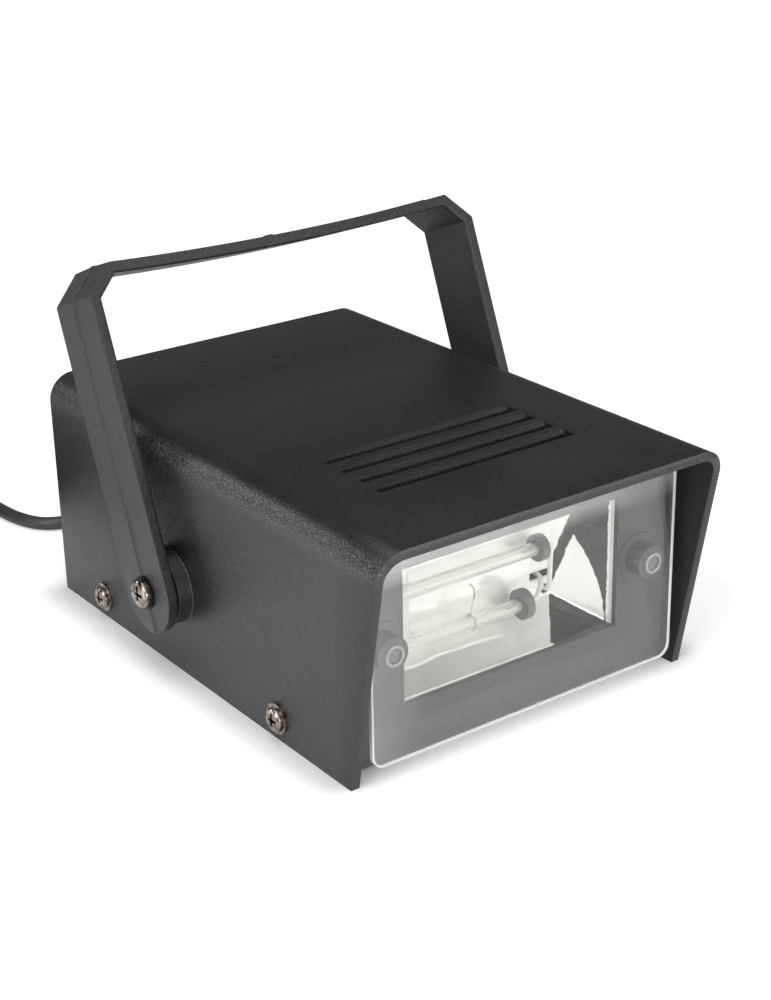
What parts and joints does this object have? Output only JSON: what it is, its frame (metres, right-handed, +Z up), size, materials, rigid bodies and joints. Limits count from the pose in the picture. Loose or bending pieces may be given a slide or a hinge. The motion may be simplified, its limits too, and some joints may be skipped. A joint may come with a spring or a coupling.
{
  "type": "xenon stroboscope",
  "caption": "Small xenon strobe light: moulded hood over a tray, clear front plate before a reflector and U-shaped flash tube, tilting handle, speed knob and mains lead.",
  "frame": {"origin": "on the surface the lamp stands on, midway between its sides and midway between the visor's lip and the knob's face", "axes": "+X across the lamp, to the right for someone who faces its front and looks along +Y; +Y towards the rear panel; +Z up. The light leaves towards -Y"},
  "size_m": [0.2171, 0.3218, 0.1305],
  "materials": {
    "hood_abs": "fine-textured black ABS",
    "tray_abs": "black ABS",
    "handle_plastic": "textured black plastic",
    "clear_plate": "clear acrylic, polished",
    "reflector_sheet": "bright folded sheet",
    "tube_glass": "clear glass tube",
    "electrode_metal": "bare wire",
    "silicone": "grey silicone",
    "nickel_steel": "nickel-plated steel",
    "white_core": "silicone-sleeved wire",
    "red_core": "PVC-sleeved wire",
    "mains_core": "PVC-sleeved mains cores, brown and blue",
    "board_laminate": "phenolic paper laminate",
    "capacitor_sleeve": "shrunk sleeve over an aluminium can",
    "ceramic_block": "cement-filled ceramic",
    "film_box": "boxed film capacitor",
    "winding": "enamelled copper winding",
    "epoxy_black": "moulded epoxy",
    "diac_glass": "glass diode",
    "resistor_lacquer": "lacquered film resistor",
    "fuse_glass": "glass cartridge with nickel caps",
    "zinc_steel": "zinc-plated steel",
    "pot_case": "pressed case",
    "knob_plastic": "black knob, satin",
    "cord_pvc": "black PVC sheath",
    "plug_pvc": "moulded black PVC",
    "friction_rubber": "black rubber"
  },
  "bodies": {
    "housing": {"hood": "hood_abs", "hood_screws": "nickel_steel", "tray": "tray_abs", "lens": "clear_plate", "reflector": "reflector_sheet", "flash_tube": "tube_glass", "tube_electrodes": "electrode_metal", "tube_bushings": "silicone", "tube_leads": "white_core", "trigger_wire": "electrode_metal", "board_screws": "zinc_steel", "storage_capacitors": "capacitor_sleeve", "doubler_diodes": "epoxy_black", "ballast_resistor": "ceramic_block", "trigger_capacitor": "film_box", "trigger_transformer": "winding", "thyristor": "epoxy_black", "diac": "diac_glass", "resistors": "resistor_lacquer", "fuse": "fuse_glass", "fuse_clips": "zinc_steel", "speed_pot": "pot_case", "pot_nut": "nickel_steel", "pot_leads": "red_core", "strain_relief": "cord_pvc", "mains_leads": "mains_core", "mains_cord_run": "cord_pvc", "mains_cord_coil": "cord_pvc", "plug_body": "plug_pvc", "plug_pins": "nickel_steel", "pivot_screws": "nickel_steel", "pivot_washers": "nickel_steel", "friction_washers": "friction_rubber", "pivot_nuts": "zinc_steel", "circuit_board": "board_laminate"},
    "handle": {"handle": "handle_plastic"},
    "speed_knob": {"speed_knob": "knob_plastic", "pot_shaft": "zinc_steel"}
  },
  "joints": [
    {"name": "handle_tilt", "type": "hinge", "parent": "housing", "child": "handle", "pos_m": [0, 0.0096, 0.0301], "axis": [1, 0, 0], "range_deg": [-65, 71]},
    {"name": "speed_knob_turn", "type": "hinge", "parent": "housing", "child": "speed_knob", "pos_m": [0, 0.09, 0.036], "axis": [0, 1, 0], "range_deg": [-150, 150]}
  ]
}
